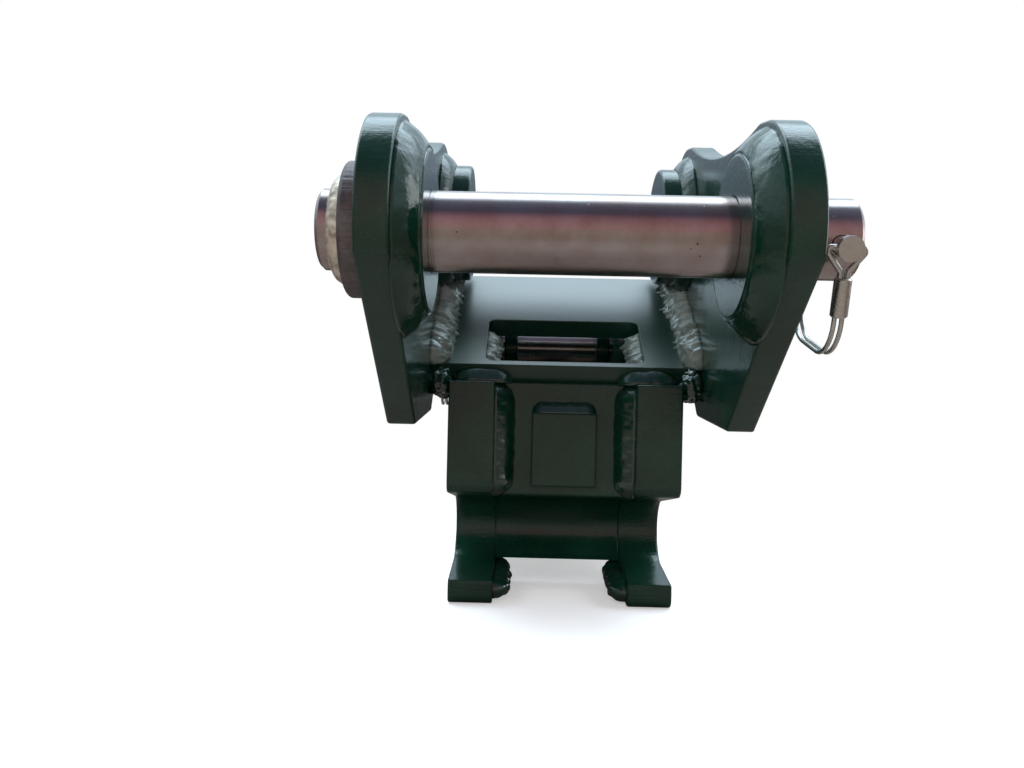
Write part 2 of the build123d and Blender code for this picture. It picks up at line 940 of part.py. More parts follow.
def latch_lever_socket():
    """Upright tube under the spring seat, for the release bar."""
    top = spring_height - pin_height - seat_block_height / 2
    middle = seat_block_y + seat_block_depth / 2
    with BuildPart() as tube:
        with BuildSketch(Plane.XY.offset(top)):
            with Locations((0, middle)):
                Circle(socket_outer)
                Circle(socket_inner, mode=Mode.SUBTRACT)
        extrude(amount=-socket_length)
    return tube


def main():
    """Build every piece and write it to its own file."""
    os.makedirs("parts", exist_ok=True)
    for side, word in ((-1, "left"), (1, "right")):
        save(ear_plate(side), f"{word}_ear_plate")
        save(boss(side, front_pin, front_boss_length), f"front_{word}_boss")
        save(boss(side, rear_pin, rear_boss_length), f"rear_{word}_boss")
        save(hook_plate(side), f"{word}_hook_plate")
        save(latch_cheek(side), f"latch_{word}_cheek")
    save(boss_welds(), "boss_welds")
    save(top_plate(), "top_plate")
    save(front_cross_plate(), "front_cross_plate")
    save(front_pad_block(), "front_pad_block")
    save(jaw_liner(), "jaw_liner")
    save(seat_liner(), "seat_liner")
    save(back_plate(), "back_plate")
    save(ear_plate_welds(), "ear_plate_welds")
    save(neck_welds(), "neck_welds")
    save(window_welds(), "window_welds")
    save(cross_plate_welds(), "cross_plate_welds")
    save(ledge_welds(), "ledge_welds")
    save(lip_welds(), "lip_welds")
    save(spring_anchor(), "spring_anchor")
    save(latch_spring(), "latch_spring")
    save(latch_hook_bar(), "latch_hook_bar")
    save(latch_spring_seat(), "latch_spring_seat")
    save(latch_lever_socket(), "latch_lever_socket")
    upper_pin("front", front_pin)
    upper_pin("rear", rear_pin)
    latch_pin()


main()
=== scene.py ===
"""Looks of a quick coupler for a compact excavator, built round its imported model. Metres."""

import json

import bmesh
import bpy
import numpy as np
from mathutils import Matrix, Vector


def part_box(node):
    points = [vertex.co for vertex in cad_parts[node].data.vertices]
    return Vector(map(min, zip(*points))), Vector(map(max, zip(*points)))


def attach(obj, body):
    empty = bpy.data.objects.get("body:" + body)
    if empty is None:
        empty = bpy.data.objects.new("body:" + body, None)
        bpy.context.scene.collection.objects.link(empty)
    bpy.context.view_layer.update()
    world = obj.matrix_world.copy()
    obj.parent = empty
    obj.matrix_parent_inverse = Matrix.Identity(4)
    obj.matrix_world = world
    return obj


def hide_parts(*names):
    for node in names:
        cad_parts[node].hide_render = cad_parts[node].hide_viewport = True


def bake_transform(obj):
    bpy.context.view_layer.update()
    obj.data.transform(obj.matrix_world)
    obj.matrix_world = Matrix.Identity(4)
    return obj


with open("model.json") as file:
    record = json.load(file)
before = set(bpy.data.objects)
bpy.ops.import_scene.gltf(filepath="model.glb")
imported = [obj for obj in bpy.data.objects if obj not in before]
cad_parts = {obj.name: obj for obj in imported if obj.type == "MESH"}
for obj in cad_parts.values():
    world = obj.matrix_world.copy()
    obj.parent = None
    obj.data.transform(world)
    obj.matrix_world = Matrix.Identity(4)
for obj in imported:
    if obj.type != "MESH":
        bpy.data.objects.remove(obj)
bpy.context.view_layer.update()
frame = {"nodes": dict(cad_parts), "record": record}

bl_info = {
    "name": "Quick Coupler Finish",
    "version": (1, 0, 0),
    "blender": (4, 5, 0),
    "location": "View3D > Sidebar > Coupler",
    "description": "Painted plates, weld beads, turned pins and wire lock pins of a quick coupler",
    "category": "Object",
}

BODY_OF = {
    node: body
    for body, members in frame["record"]["behaviour"]["bodies"].items()
    for node in members
}
SLOT_OF = {solid["node"]: solid["material_slot"] for solid in frame["record"]["subparts"]}
MM = 0.001


def low(node):
    """Lowest corner of a solid, as an array."""
    return np.array(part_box(node)[0])


def high(node):
    """Highest corner of a solid, as an array."""
    return np.array(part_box(node)[1])


def axis_of(node):
    """Middle of a solid's box, which lies on the axis of a round one."""
    return (low(node) + high(node)) / 2


GROUND = low("left_hook_plate")[2]
EAR_INNER = low("right_ear_plate")[0]
HOOK_INNER = low("right_hook_plate")[0]
HOOK_OUTER = high("right_hook_plate")[0]
CROSS_FACE = low("front_cross_plate")[1]
PLATE_LOW = low("top_plate")
PLATE_HIGH = high("top_plate")
SLOPE = np.radians(33.5)
ALONG = np.array([0.0, np.cos(SLOPE), np.sin(SLOPE)])
NORMAL = np.array([0.0, -np.sin(SLOPE), np.cos(SLOPE)])
PLATE_THICK = 15 * MM
PLATE_FRONT = np.array([0.0, PLATE_LOW[1], PLATE_LOW[2] + PLATE_THICK * np.cos(SLOPE)])
PLATE_LENGTH = (PLATE_HIGH[2] - PLATE_FRONT[2]) / np.sin(SLOPE)
LIP_WELD = 12 * MM
RIGHT = np.array([1.0, 0.0, 0.0])
BACK = np.array([0.0, 1.0, 0.0])
UP = np.array([0.0, 0.0, 1.0])

NOISE_WAVES = 5
NOISE_FADING = 1.7
WAVE_SPREAD = (0.7, 1.3)
SAME_POINT = 1e-6
FLAT_ANGLE = np.radians(0.6)
ROUNDED_ANGLE = np.radians(28)
ROUNDING_STEPS = 2
SECTION_ANGLES = np.radians(np.linspace(-6, 96, 15))
BEAD_ROOT = 0.04

# Beads: ripple pitch in metres; crown, bump and spatter as shares of the leg
BOSS_BEAD = {"pitch": 0.013, "crown": 0.12, "bump": 0.018, "closed": True}
PLATE_BEAD = {"pitch": 0.0065, "bump": 0.06, "spatter": 0.40}
CORNER_BEAD = {"pitch": 0.012, "crown": 0.12, "bump": 0.025}
PAD_BEAD = {"pitch": 0.012, "crown": 0.1, "bump": 0.03}
WINDOW_BEAD = {"pitch": 0.009, "bump": 0.08, "spatter": 0.3}
LEDGE_BEAD = {"pitch": 0.014, "crown": 0.2, "bump": 0.03}
FLANGE_BEAD = {"pitch": 0.0035, "crown": 0.3, "bump": 0.03, "closed": True}
LIP_BEAD = {"pitch": 0.009, "bump": 0.10}
REAR_BOSS_SHARE = 0.75
PAD_LEG = 0.0078
WINDOW_LEG = 0.0105
LEDGE_LEG = 0.0145
LIP_HEIGHT = 0.0085
LIP_INSET = 0.001
LEDGE_INSET = 0.013
LEDGE_GAP = 0.0005
RUN_OUT = 0.002
RUN_ON = 0.001
WINDOW_START = 0.011
WINDOW_RUN = 0.05
NECK_SPOTS = ((0.22, 0.45, 1.0), (0.5, 0.62, 1.15), (0.8, 0.75, 1.0), (0.45, 0.3, 0.9))
NECK_REACH = 1.25
NECK_RADII = (0.0095, 0.0085)
FLANGE_ROOT = 0.62
FLANGE_LEG = 0.95
FIRST_SEED = {
    "boss": 11, "plate": 31, "corner": 41, "pad": 47, "window": 53,
    "neck": 61, "lip": 71, "ledge": 77, "flange": 81,
}
PIN_EDGE = 0.0005
FLANGE_EDGE = 0.0008


# Curves and surfaces

def smooth_noise(points, scale, seed, octaves=4):
    """Soft noise about 0: a sum of sines along random directions.

    Each octave has waves half as long as the one before, and is weaker by NOISE_FADING.
    """
    draw = np.random.default_rng(seed)
    total = np.zeros(points.shape[:-1])
    for octave in range(octaves):
        for _ in range(NOISE_WAVES):
            way = draw.normal(size=3)
            way /= np.linalg.norm(way)
            phase = draw.uniform(0, 2 * np.pi)
            wave = points @ way * (2 ** octave / scale) * draw.uniform(*WAVE_SPREAD)
            total += np.sin(2 * np.pi * wave + phase) / (NOISE_WAVES * NOISE_FADING ** octave)
    return total


def linked(name, data):
    """Object that shows a mesh, lamp or camera, put in the scene."""
    made = bpy.data.objects.new(name, data)
    bpy.context.scene.collection.objects.link(made)
    return made


def surface(name, grid, loop_rows=False):
    """Mesh object from a grid of points [row, column, xyz].

    Four neighbouring points make a face. Columns run round the section and close on
    themselves, rows do so where loop_rows is set, and open ends are capped.
    """
    rows, columns = grid.shape[:2]
    index = np.arange(rows * columns).reshape(rows, columns)
    first = index if loop_rows else index[:-1]
    second = np.roll(index, -1, axis=0) if loop_rows else index[1:]
    quads = np.stack([first, np.roll(first, -1, 1), np.roll(second, -1, 1), second], -1)
    mesh = bpy.data.meshes.new(name)
    mesh.from_pydata(grid.reshape(-1, 3).tolist(), [], quads.reshape(-1, 4).tolist())
    shape = bmesh.new()
    shape.from_mesh(mesh)
    bmesh.ops.remove_doubles(shape, verts=shape.verts, dist=SAME_POINT)
    open_edges = [e for e in shape.edges if e.is_boundary]
    bmesh.ops.holes_fill(shape, edges=open_edges)
    bmesh.ops.recalc_face_normals(shape, faces=shape.faces)
    shape.to_mesh(mesh)
    shape.free()
    mesh.polygons.foreach_set("use_smooth", np.ones(len(mesh.polygons), bool))
    return linked(name, mesh)


def straight(start, end, count):
    """Evenly spaced points from start to end, as shares of the two."""
    share = np.linspace(0, 1, count)[:, None]
    return np.asarray(start) * (1 - share) + np.asarray(end) * share


def circle_path(centre, radius, count):
    """Points round a circle about an axis along X: centre + radius * (0, cos t, sin t)."""
    angle = np.linspace(0, 2 * np.pi, count, endpoint=False)
    flat = np.stack([np.zeros(count), np.cos(angle), np.sin(angle)], -1)
    return np.asarray(centre) + radius * flat


def lengths_along(path):
    """Distance from the first point to each point of a path."""
    steps = np.linalg.norm(np.diff(path, axis=0), axis=1)
    return np.concatenate([[0.0], np.cumsum(steps)])


def bead_grid(path, way_a, way_b, leg, seed, pitch, bump, crown=0.35, spatter=0.0, closed=False):
    """Weld bead in the corner of two faces.

    The path runs along the corner, and way_a and way_b lie in the faces, away from it.
    At each point of the path the section is an arc from one face to the other:
    radius = leg / (cos t + sin t) * (1 + crown * sin 2t), for t from 0 to 90 degrees.
    Crescent ripples and soft noise lift it, and open ends shrink to a point.
    """
    distance = lengths_along(path)
    turn = SECTION_ANGLES[None, :]
    way_a = np.broadcast_to(way_a, path.shape)[:, None, :]
    way_b = np.broadcast_to(way_b, path.shape)[:, None, :]
    flat = np.abs(np.cos(turn)) + np.abs(np.sin(turn))
    reach = leg / flat * (1 + crown * np.sin(2 * turn))
    ripple = distance[:, None] / pitch + 0.55 * np.cos(2 * (turn - np.pi / 4))
    scallop = np.abs(np.sin(np.pi * ripple))
    base = path[:, None, :] + way_a * np.cos(turn)[..., None] * leg
    middle = np.broadcast_to(path[:, None, :], base.shape)
    wander = smooth_noise(middle, 5 * leg, seed + 1)
    rough = smooth_noise(base, 1.2 * leg, seed)
    drops = np.clip(smooth_noise(base, 0.45 * leg, seed + 2, octaves=2) - 0.15, 0, 1)
    lift = bump * (scallop - 0.6) + (0.02 + bump) * wander + 0.9 * bump * rough
    radius = reach * (1 + (lift + spatter * drops))
    if not closed:
        share = distance / distance[-1]
        ends = np.minimum(share, 1 - share) * distance[-1] / leg
        taper = np.sqrt(np.clip(2 * ends - ends ** 2, 0, 1) * (ends < 1) + (ends >= 1))
        radius = radius * taper[:, None]
    outer = path[:, None, :] + radius[..., None] * (
        way_a * np.cos(turn)[..., None] + way_b * np.sin(turn)[..., None]
    )
    root = path[:, None, :] - BEAD_ROOT * radius[:, :1, None] * (way_a + way_b)
    return np.concatenate([outer, root], axis=1)


def curve(knots, count):
    """Smooth path through knots: cubic pieces with each knot's slope along its neighbours."""
    knots = np.asarray(knots, float)
    slopes = np.gradient(knots, axis=0)
    at = np.linspace(0, len(knots) - 1, count)
    piece = np.minimum(at.astype(int), len(knots) - 2)
    t = (at - piece)[:, None]
    return (
        (2 * t ** 3 - 3 * t ** 2 + 1) * knots[piece]
        + (t ** 3 - 2 * t ** 2 + t) * slopes[piece]
        + (3 * t ** 2 - 2 * t ** 3) * knots[piece + 1]
        + (t ** 3 - t ** 2) * slopes[piece + 1]
    )


def tube(name, path, radii, seed, pitch, bump):
    """Lumpy oval run along a path in a plane of constant x.

    radius(s, t) = radii * (1 + bump * (|sin(pi s / pitch)| + noise)), shrinking at both ends.
    """
    distance = lengths_along(path)
    ahead = np.gradient(path, axis=0)
    ahead /= np.linalg.norm(ahead, axis=1)[:, None]
    lift = np.cross(RIGHT, ahead)
    turn = np.linspace(0, 2 * np.pi, 40, endpoint=False)[None, :]
    ends = np.minimum(distance, distance[-1] - distance) / max(radii)
    taper = np.sqrt(np.clip(1 - np.clip(1 - ends, 0, 1) ** 2, 0, 1))[:, None]
    ring = (
        np.cos(turn)[..., None] * radii[0] * RIGHT
        + np.sin(turn)[..., None] * radii[1] * lift[:, None, :]
    )
    scallop = np.abs(np.sin(np.pi * (distance[:, None] / pitch + 0.2 * np.cos(turn))))
    rough = smooth_noise(path[:, None, :] + ring, 1.1 * max(radii), seed)
    swell = taper * (0.94 + bump * (scallop - 0.6 + rough))
    return surface(name, path[:, None, :] + ring * swell[..., None])


def bead(name, path, way_a, way_b, leg, seed, style):
    """Weld bead object along a path, in one of the styles above."""
    grid = bead_grid(path, way_a, way_b, leg, seed, **style)
    return surface(name, grid, loop_rows=style.get("closed", False))


def lump(name, centre, radii, seed, lift):
    """Rounded weld lump: an ellipsoid whose radius is lifted by soft noise."""
    polar = np.linspace(0, np.pi, 33)[:, None]
    around = np.linspace(0, 2 * np.pi, 48, endpoint=False)[None, :]
    unit = np.stack(
        [
            np.sin(polar) * np.cos(around),
            np.sin(polar) * np.sin(around),
            np.cos(polar) * np.ones_like(around),
        ],
        -1,
    )
    swell = 1 + lift * smooth_noise(unit * np.asarray(radii), 0.9 * max(radii), seed)
    return surface(name, np.asarray(centre) + unit * np.asarray(radii) * swell[..., None])


def joined(name, parts):
    """One object from several, with the meshes kept apart inside it."""
    shape = bmesh.new()
    for part in parts:
        shape.from_mesh(part.data)
        bpy.data.objects.remove(part)
    mesh = bpy.data.meshes.new(name)
    shape.to_mesh(mesh)
    shape.free()
    return linked(name, mesh)


def merged(node):
    """Object with a copy of a solid's mesh, its doubles merged and its flat faces joined."""
    mesh = frame["nodes"][node].data.copy()
    mesh.name = node + "_finish"
    shape = bmesh.new()
    shape.from_mesh(mesh)
    bmesh.ops.remove_doubles(shape, verts=shape.verts, dist=SAME_POINT)
    bmesh.ops.dissolve_limit(
        shape, angle_limit=FLAT_ANGLE, verts=shape.verts, edges=shape.edges
    )
    shape.to_mesh(mesh)
    shape.free()
    mesh.polygons.foreach_set("use_smooth", np.ones(len(mesh.polygons), bool))
    made = linked(node + "_finish", mesh)
    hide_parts(node)
    return made


def softened(node, width):
    """Merged copy of a solid with rounded edges, standing for that solid."""
    made = merged(node)
    rounding = made.modifiers.new("edge rounding", "BEVEL")
    rounding.width = width
    rounding.segments = ROUNDING_STEPS
    rounding.limit_method = "ANGLE"
    rounding.angle_limit = ROUNDED_ANGLE
    rounding.harden_normals = True
    rounding.use_clamp_overlap = True
    flat = made.modifiers.new("flat faces", "WEIGHTED_NORMAL")
    flat.mode = "FACE_AREA"
    flat.weight = 100
    flat.keep_sharp = False
    place(made, BODY_OF[node])
    return made


def place(made, body):
    """Let a piece move with a body."""
    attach(made, body)


def stand_in(made, node, material):
    """Let a piece stand for a painted weld of the frame, in its own paint."""
    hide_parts(node)
    place(made, "frame")
    dress(made, material)


# Materials

class Nodes:
    """Small helper that adds and links shader nodes in one tree."""

    def __init__(self, tree):
        self.tree = tree

    def add(self, kind, **values):
        """Add a node; keys are its properties, or its sockets' names with spaces as _."""
        node = self.tree.nodes.new(kind)
        for key, value in values.items():
            socket = node.inputs.get(key.replace("_", " "))
            if socket is None:
                setattr(node, key, value)
            elif hasattr(value, "is_output") and value.is_output:
                self.tree.links.new(value, socket)
            else:
                socket.default_value = value
        return node

    def math(self, operation, first, second=0.0, third=None, clamp=False):
        """Math node of up to three operands."""
        node = self.tree.nodes.new("ShaderNodeMath")
        node.operation = operation
        node.use_clamp = clamp
        for socket, value in zip(node.inputs, (first, second, third)):
            if value is None:
                continue
            if hasattr(value, "is_output"):
                self.tree.links.new(value, socket)
            else:
                socket.default_value = value
        return node.outputs[0]

    def mix(self, share, first, second):
        """Colour between first and second by share."""
        node = self.tree.nodes.new("ShaderNodeMix")
        node.data_type = "RGBA"
        sockets = (node.inputs[0], node.inputs[6], node.inputs[7])
        for socket, value in zip(sockets, (share, first, second)):
            if hasattr(value, "is_output"):
                self.tree.links.new(value, socket)
            else:
                socket.default_value = value
        return node.outputs[2]

    def ramp(self, value, stops):
        """Map a value through stops of (position, grey or colour)."""
        node = self.tree.nodes.new("ShaderNodeValToRGB")
        self.tree.links.new(value, node.inputs[0])
        points = node.color_ramp.elements
        while len(points) < len(stops):
            points.new(0.5)
        for point, (position, colour) in zip(points, stops):
            point.position = position
            point.color = (colour,) * 3 + (1,) if isinstance(colour, float) else colour
        return node.outputs[0]

    def scaled(self, value, by, plus):
        """Value times by, with plus added."""
        return self.math("MULTIPLY_ADD", value, by, plus)

    def link(self, output, socket):
        """Link an output to a socket."""
        self.tree.links.new(output, socket)


def group_tree(name, inputs, outputs):
    """New shader node group with named number or colour sockets."""
    tree = bpy.data.node_groups.new(name, "ShaderNodeTree")
    for label, kind, value in inputs:
        socket = tree.interface.new_socket(label, in_out="INPUT", socket_type=kind)
        if value is not None:
            socket.default_value = value
    for label, kind in outputs:
        tree.interface.new_socket(label, in_out="OUTPUT", socket_type=kind)
    start = tree.nodes.new("NodeGroupInput")
    end = tree.nodes.new("NodeGroupOutput")
    return tree, Nodes(tree), start.outputs, end.inputs


def cut_edge_group():
    """Drag lines of flame cutting: noise that is constant across the plate's thickness."""
    tree, nodes, given, wanted = group_tree(
        "flame cut edge",
        [("Lines per Metre", "NodeSocketFloat", 300.0), ("Depth", "NodeSocketFloat", 1.0)],
        [("Height", "NodeSocketFloat"), ("Mask", "NodeSocketFloat")],
    )
    where = nodes.add("ShaderNodeTexCoord")
    parts = nodes.add("ShaderNodeSeparateXYZ", Vector=where.outputs["Object"])
    facing = nodes.add("ShaderNodeSeparateXYZ", Vector=where.outputs["Normal"])
    squeezed = nodes.add(
        "ShaderNodeCombineXYZ",
        X=nodes.math("MULTIPLY", parts.outputs[0], 0.035),
        Y=parts.outputs[1],
        Z=parts.outputs[2],
    )
    lines = nodes.add(
        "ShaderNodeTexNoise", Vector=squeezed.outputs[0], Scale=given["Lines per Metre"],
        Detail=3.0, Roughness=0.62, Distortion=0.0,
    )
    side = nodes.math("ABSOLUTE", facing.outputs[0])
    rim = nodes.math("SUBTRACT", 1.0, nodes.math("MULTIPLY", side, 1.6), clamp=True)
    drag = nodes.math("MULTIPLY", lines.outputs[0], rim)
    nodes.link(nodes.math("MULTIPLY", drag, given["Depth"]), wanted["Height"])
    nodes.link(rim, wanted["Mask"])
    return tree


def paint_skin_group():
    """Orange peel, sags and dust of a thick brushed or sprayed enamel coat."""
    tree, nodes, given, wanted = group_tree(
        "paint skin",
        [
            ("Peel per Metre", "NodeSocketFloat", 420.0),
            ("Peel", "NodeSocketFloat", 1.0),
            ("Sag", "NodeSocketFloat", 1.0),
        ],
        [("Height", "NodeSocketFloat"), ("Tone", "NodeSocketFloat"), ("Dust", "NodeSocketFloat")],
    )
    where = nodes.add("ShaderNodeTexCoord").outputs["Object"]
    peel = nodes.add("ShaderNodeTexNoise", Vector=where, Scale=given["Peel per Metre"], Detail=2.0)
    sag = nodes.add("ShaderNodeTexNoise", Vector=where, Scale=55.0, Detail=3.0, Roughness=0.55)
    tone = nodes.add("ShaderNodeTexNoise", Vector=where, Scale=22.0, Detail=5.0, Roughness=0.6)
    specks = nodes.add("ShaderNodeTexNoise", Vector=where, Scale=900.0, Detail=2.0, Roughness=0.7)
    height = nodes.math(
        "ADD",
        nodes.math("MULTIPLY", peel.outputs[0], given["Peel"]),
        nodes.math("MULTIPLY", sag.outputs[0], nodes.math("MULTIPLY", given["Sag"], 4.0)),
    )
    nodes.link(height, wanted["Height"])
    nodes.link(tone.outputs[0], wanted["Tone"])
    nodes.link(nodes.ramp(specks.outputs[0], [(0.62, 0.0), (0.78, 1.0)]), wanted["Dust"])
    return tree


def wear_group():
    """Worn high spots: convex edges found from the surface's pointiness, broken up by noise."""
    tree, nodes, given, wanted = group_tree(
        "edge wear",
        [("Amount", "NodeSocketFloat", 0.5)],
        [("Mask", "NodeSocketFloat")],
    )
    where = nodes.add("ShaderNodeTexCoord").outputs["Object"]
    pointed = nodes.add("ShaderNodeNewGeometry").outputs["Pointiness"]
    grain = nodes.add("ShaderNodeTexNoise", Vector=where, Scale=260.0, Detail=4.0, Roughness=0.7)
    edge = nodes.math("MULTIPLY", nodes.math("SUBTRACT", pointed, 0.52, clamp=True), 8.0)
    broken = nodes.math("SUBTRACT", grain.outputs[0], 0.35, clamp=True)
    chipped = nodes.math("MULTIPLY", edge, broken)
    nodes.link(nodes.math("MULTIPLY", chipped, given["Amount"], clamp=True), wanted["Mask"])
    return tree


GROUPS = {}


def group(nodes, name, **values):
    """Place a shared node group in a material with its own values."""
    node = nodes.tree.nodes.new("ShaderNodeGroup")
    node.node_tree = GROUPS[name]
    for key, value in values.items():
        node.inputs[key.replace("_", " ")].default_value = value
    return node


def new_material(name):
    """Material with an empty tree, its Principled shader and a helper."""
    material = bpy.data.materials.new(name)
    material.use_nodes = True
    tree = material.node_tree
    tree.nodes.clear()
    nodes = Nodes(tree)
    shader = nodes.add("ShaderNodeBsdfPrincipled")
    out = nodes.add("ShaderNodeOutputMaterial")
    tree.links.new(shader.outputs[0], out.inputs[0])
    return material, nodes, shader


def grain_bump(nodes, height, strength, depth, normal=None):
    """Bump node fed by a height in units of depth metres."""
    bump = nodes.add("ShaderNodeBump", Height=height, Strength=strength, Distance=depth)
    if normal is not None:
        nodes.link(normal, bump.inputs["Normal"])
    return bump.outputs[0]


def enamel(name, colour, lines, peel, sag, gloss, coat=0.25, haze=0.06):
    """Thick glossy enamel over flame-cut plate.

    Lines is how far the cut's drag lines show through at the rims, peel and sag are the
    skin's unevenness, gloss and haze the roughness under and in the clear coat.
    """
    material, nodes, shader = new_material(name)
    skin = group(nodes, "paint skin", Peel=peel, Sag=sag)
    cut = group(nodes, "flame cut edge", Depth=lines)
    dark = tuple(0.55 * c for c in colour) + (1,)
    toned = nodes.mix(
        nodes.ramp(skin.outputs["Tone"], [(0.35, 0.0), (0.68, 1.0)]), dark, colour + (1,)
    )
    dust = nodes.math("MULTIPLY", skin.outputs["Dust"], 0.06)
    nodes.link(nodes.mix(dust, toned, (0.35, 0.42, 0.38, 1)), shader.inputs["Base Color"])
    rough = nodes.scaled(skin.outputs["Tone"], by=0.12, plus=gloss - 0.05)
    nodes.link(nodes.scaled(cut.outputs["Mask"], by=0.05, plus=rough), shader.inputs["Roughness"])
    flow = grain_bump(nodes, skin.outputs["Height"], strength=0.55, depth=0.00035)
    dragged = grain_bump(nodes, cut.outputs["Height"], strength=0.8, depth=0.0011, normal=flow)
    nodes.link(dragged, shader.inputs["Normal"])
    shader.inputs["IOR"].default_value = 1.5
    shader.inputs["Coat Weight"].default_value = coat
    shader.inputs["Coat IOR"].default_value = 1.7
    shader.inputs["Coat Roughness"].default_value = haze
    return material


def turned_steel(name, colour, ring_lines, pits, gloss):
    """Ground or turned pin steel: fine rings along the axis, stains and small pits."""
    material, nodes, shader = new_material(name)
    where = nodes.add("ShaderNodeTexCoord").outputs["Object"]
    parts = nodes.add("ShaderNodeSeparateXYZ", Vector=where)
    stretched = nodes.add(
        "ShaderNodeCombineXYZ",
        X=nodes.math("MULTIPLY", parts.outputs[0], 1.0),
        Y=nodes.math("MULTIPLY", parts.outputs[1], 0.03),
        Z=nodes.math("MULTIPLY", parts.outputs[2], 0.03),
    )
    rings = nodes.add(
        "ShaderNodeTexNoise", Vector=stretched.outputs[0], Scale=ring_lines,
        Detail=3.0, Roughness=0.6,
    )
    stain = nodes.add("ShaderNodeTexNoise", Vector=where, Scale=38.0, Detail=6.0, Roughness=0.62)
    pit = nodes.add("ShaderNodeTexVoronoi", Vector=where, Scale=210.0)
    spot = nodes.add("ShaderNodeTexNoise", Vector=where, Scale=70.0, Detail=2.0)
    near = nodes.ramp(pit.outputs["Distance"], [(0.05, 1.0), (0.16, 0.0)])
    rare = nodes.ramp(spot.outputs[0], [(0.60, 0.0), (0.66, 1.0)])
    marks = nodes.math("MULTIPLY", nodes.math("MULTIPLY", near, rare), pits)
    tinted = nodes.mix(
        nodes.ramp(stain.outputs[0], [(0.38, 0.0), (0.66, 1.0)]),
        colour + (1,),
        tuple(c * s for c, s in zip(colour, (0.80, 0.68, 0.64))) + (1,),
    )
    nodes.link(nodes.mix(marks, tinted, (0.06, 0.045, 0.04, 1)), shader.inputs["Base Color"])
    shader.inputs["Metallic"].default_value = 1.0
    rough = nodes.scaled(stain.outputs[0], by=0.16, plus=gloss - 0.06)
    nodes.link(nodes.scaled(marks, by=0.4, plus=rough), shader.inputs["Roughness"])
    lathe = grain_bump(nodes, rings.outputs[0], strength=0.35, depth=0.00016)
    sunk = nodes.math("MULTIPLY", marks, -1.0)
    pitted = grain_bump(nodes, sunk, strength=0.5, depth=0.0003, normal=lathe)
    nodes.link(pitted, shader.inputs["Normal"])
    return material


def mill_scale(name, colour):
    """Rolled plate with grey scale, rust blooms, worn pale edges and the drag lines of a cut rim.
    """
    material, nodes, shader = new_material(name)
    where = nodes.add("ShaderNodeTexCoord").outputs["Object"]
    cut = group(nodes, "flame cut edge", Depth=1.0, Lines_per_Metre=420.0)
    wear = group(nodes, "edge wear", Amount=1.0)
    cloud = nodes.add("ShaderNodeTexNoise", Vector=where, Scale=75.0, Detail=7.0, Roughness=0.68)
    rust = nodes.add("ShaderNodeTexNoise", Vector=where, Scale=140.0, Detail=5.0, Roughness=0.7)
    pale = tuple(min(1.0, 2.1 * c) for c in colour) + (1,)
    clouded = nodes.ramp(cloud.outputs[0], [(0.35, 0.0), (0.72, 1.0)])
    toned = nodes.mix(clouded, colour + (1,), pale)
    rusty = nodes.mix(
        nodes.ramp(rust.outputs[0], [(0.56, 0.0), (0.74, 0.75)]), toned, (0.16, 0.075, 0.04, 1)
    )
    worn = nodes.mix(wear.outputs["Mask"], rusty, (0.62, 0.60, 0.58, 1))
    nodes.link(worn, shader.inputs["Base Color"])
    shader.inputs["Metallic"].default_value = 0.75
    nodes.link(nodes.scaled(cloud.outputs[0], by=0.3, plus=0.32), shader.inputs["Roughness"])
    skin = grain_bump(nodes, rust.outputs[0], strength=0.5, depth=0.0003)
    dragged = grain_bump(nodes, cut.outputs["Height"], strength=0.9, depth=0.001, normal=skin)
    nodes.link(dragged, shader.inputs["Normal"])
    return material


def bare_weld(name, colour):
    """Freshly laid, unpainted weld metal with a pale oxide bloom."""
    material, nodes, shader = new_material(name)
    where = nodes.add("ShaderNodeTexCoord").outputs["Object"]
    wear = group(nodes, "edge wear", Amount=0.8)
    bloom = nodes.add("ShaderNodeTexNoise", Vector=where, Scale=160.0, Detail=5.0, Roughness=0.65)
    scorch = tuple(0.42 * c for c in colour) + (1,)
    bloomed = nodes.ramp(bloom.outputs[0], [(0.34, 0.0), (0.6, 1.0)])
    toned = nodes.mix(bloomed, scorch, colour + (1,))
    worn = nodes.mix(wear.outputs["Mask"], toned, (0.95, 0.93, 0.88, 1))
    nodes.link(worn, shader.inputs["Base Color"])
    shader.inputs["Metallic"].default_value = 0.55
    nodes.link(nodes.scaled(bloom.outputs[0], by=0.3, plus=0.22), shader.inputs["Roughness"])
    rippled = grain_bump(nodes, bloom.outputs[0], strength=0.6, depth=0.0004)
    nodes.link(rippled, shader.inputs["Normal"])
    return material


def zinc(name, colour):
    """Bright zinc plate with faint yellow passivation and handling marks."""
    material, nodes, shader = new_material(name)
    where = nodes.add("ShaderNodeTexCoord").outputs["Object"]
    wear = group(nodes, "edge wear", Amount=0.6)
    blush = nodes.add("ShaderNodeTexNoise", Vector=where, Scale=190.0, Detail=4.0, Roughness=0.6)
    warm = tuple(c * s for c, s in zip(colour, (0.92, 0.84, 0.66))) + (1,)
    blushed = nodes.ramp(blush.outputs[0], [(0.42, 0.0), (0.7, 0.6)])
    toned = nodes.mix(blushed, colour + (1,), warm)
    worn = nodes.mix(wear.outputs["Mask"], toned, (0.9, 0.9, 0.9, 1))
    nodes.link(worn, shader.inputs["Base Color"])
    shader.inputs["Metallic"].default_value = 1.0
    nodes.link(nodes.scaled(blush.outputs[0], by=0.2, plus=0.16), shader.inputs["Roughness"])
    handled = grain_bump(nodes, blush.outputs[0], strength=0.3, depth=0.0001)
    nodes.link(handled, shader.inputs["Normal"])
    return material


MATERIALS = {}
SPRING_BLACK = (0.02, 0.02, 0.022)
# Gain and lift that pale the weld paint towards white: a painted highlight that stands for glare on
# the welds
GLARE_GAIN = 2.4
GLARE = 0.30


def dress(made, material):
    """Give an object one material in every slot."""
    made.data.materials.clear()
    made.data.materials.append(MATERIALS[material])


# Sizes and colours a user would change

